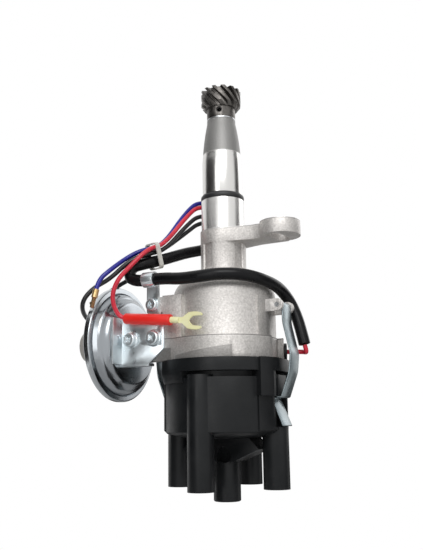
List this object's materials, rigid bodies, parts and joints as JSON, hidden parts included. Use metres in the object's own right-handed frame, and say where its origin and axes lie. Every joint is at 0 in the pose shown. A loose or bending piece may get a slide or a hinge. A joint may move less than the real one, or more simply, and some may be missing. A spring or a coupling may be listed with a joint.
{
  "type": "ignition distributor",
  "caption": "Ignition distributor with a long geared stem, hold-down arm, vacuum advance canister, spring clips, moulded cap with lead towers, and a wiring tail.",
  "frame": {"origin": "on the shaft axis, in the plane of the hold-down arm seating face", "axes": "+Z along the shaft towards the drive gear, +X through the hinge of the right spring clip, the vacuum canister on -X"},
  "size_m": [0.1465, 0.0961, 0.2581],
  "materials": {
    "cast_aluminium": "light cast aluminium, turned bands on the stem",
    "gear_steel": "dark hardened steel, oiled",
    "steel": "plain machined steel",
    "sintered_bronze": "oil-filled bronze",
    "zinc_sheet": "bright zinc plated sheet",
    "zinc_canister": "polished zinc plated pressing",
    "spring_steel": "bluish zinc plated spring strip",
    "cap_plastic": "semi-gloss moulded phenolic",
    "rotor_plastic": "brown moulded plastic",
    "module_plastic": "potted black plastic",
    "brass": "bright brass",
    "contact_aluminium": "bare aluminium inserts",
    "carbon": "pressed carbon",
    "black_rubber": "black rubber",
    "sleeve_vinyl": "limp glossy black sleeving",
    "red_vinyl": "red wire insulation",
    "boot_vinyl": "bright red soft sleeve",
    "blue_vinyl": "blue wire insulation",
    "black_vinyl": "black wire insulation",
    "fork_plate": "pale yellow plated brass",
    "nylon": "off-white nylon"
  },
  "bodies": {
    "body": {"housing": "cast_aluminium", "stem_bush_upper": "sintered_bronze", "stem_bush_lower": "sintered_bronze", "oil_seal": "black_rubber", "o_ring": "black_rubber", "cap_gasket": "black_rubber", "cap": "cap_plastic", "coil_terminal": "brass", "plug_terminals": "contact_aluminium", "carbon_brush": "carbon", "brush_spring": "steel", "base_plate": "steel", "plate_screws": "steel", "ignition_module": "module_plastic", "module_screws": "steel", "vacuum_bracket": "zinc_sheet", "bracket_screws": "zinc_sheet", "vacuum_pan": "zinc_canister", "vacuum_cover": "zinc_canister", "vacuum_nipple": "zinc_canister", "diaphragm": "black_rubber", "vacuum_spring": "steel", "clip_pins": "steel", "cable_clamp": "zinc_sheet", "clamp_screw": "zinc_sheet", "lead_grommet": "black_rubber", "lead_sleeve": "sleeve_vinyl", "lead_tail": "red_vinyl", "red_lead": "red_vinyl", "red_boot": "boot_vinyl", "fork_terminal": "fork_plate", "blue_lead": "blue_vinyl", "blue_terminal": "brass", "black_lead_a": "black_vinyl", "black_lead_b": "black_vinyl", "black_terminal": "brass", "cable_tie": "nylon"},
    "shaft": {"drive_shaft": "steel", "drive_gear": "gear_steel", "gear_pin": "steel", "thrust_washer": "steel", "weight_carrier": "steel"},
    "first_weight": {"weight_a": "steel"},
    "second_weight": {"weight_b": "steel"},
    "sleeve": {"advance_cam": "steel", "snap_ring": "steel", "reluctor": "steel", "rotor": "rotor_plastic", "rotor_contact": "brass", "weight_spring_a": "steel", "weight_spring_b": "steel"},
    "plate": {"pickup_plate": "steel", "rod_pin": "steel", "pickup_coil": "module_plastic", "pickup_core": "steel"},
    "rod": {"vacuum_rod": "steel", "diaphragm_plate": "steel"},
    "right_clip": {"clip_a": "spring_steel"},
    "left_clip": {"clip_b": "spring_steel"}
  },
  "joints": [
    {"name": "shaft_spin", "type": "hinge", "parent": "body", "child": "shaft", "pos_m": [0, 0, 0], "axis": [0, 0, 1], "continuous": true},
    {"name": "advance_turn", "type": "hinge", "parent": "shaft", "child": "sleeve", "pos_m": [0, 0, -0.07], "axis": [0, 0, 1], "range_deg": [0, 12], "deforming": ["weight_spring_a", "weight_spring_b"]},
    {"name": "first_weight_swing", "type": "hinge", "parent": "shaft", "child": "first_weight", "pos_m": [0.0155, 0, -0.05], "axis": [0, 0, 1], "range_deg": [-10, 0]},
    {"name": "second_weight_swing", "type": "hinge", "parent": "shaft", "child": "second_weight", "pos_m": [-0.0155, 0, -0.05], "axis": [0, 0, 1], "range_deg": [-10, 0]},
    {"name": "vacuum_turn", "type": "hinge", "parent": "body", "child": "plate", "pos_m": [0, 0, -0.065], "axis": [0, 0, -1], "range_deg": [0, 12]},
    {"name": "rod_slide", "type": "slide", "parent": "body", "child": "rod", "axis": [-1, 0, 0], "range_m": [0, 0.0038], "deforming": ["diaphragm", "vacuum_spring"]},
    {"name": "right_clip_swing", "type": "hinge", "parent": "body", "child": "right_clip", "pos_m": [0.039, 0, -0.0505], "axis": [0, -1, 0], "range_deg": [0, 70]},
    {"name": "left_clip_swing", "type": "hinge", "parent": "body", "child": "left_clip", "pos_m": [-0.039, 0, -0.0505], "axis": [0, 1, 0], "range_deg": [0, 15]}
  ],
  "couplings": [
    {"joint": "first_weight_swing", "follows": "advance_turn", "ratio": -0.8333},
    {"joint": "second_weight_swing", "follows": "advance_turn", "ratio": -0.8333},
    {"joint": "rod_slide", "follows": "vacuum_turn", "m_per_rad": 0.018017}
  ]
}
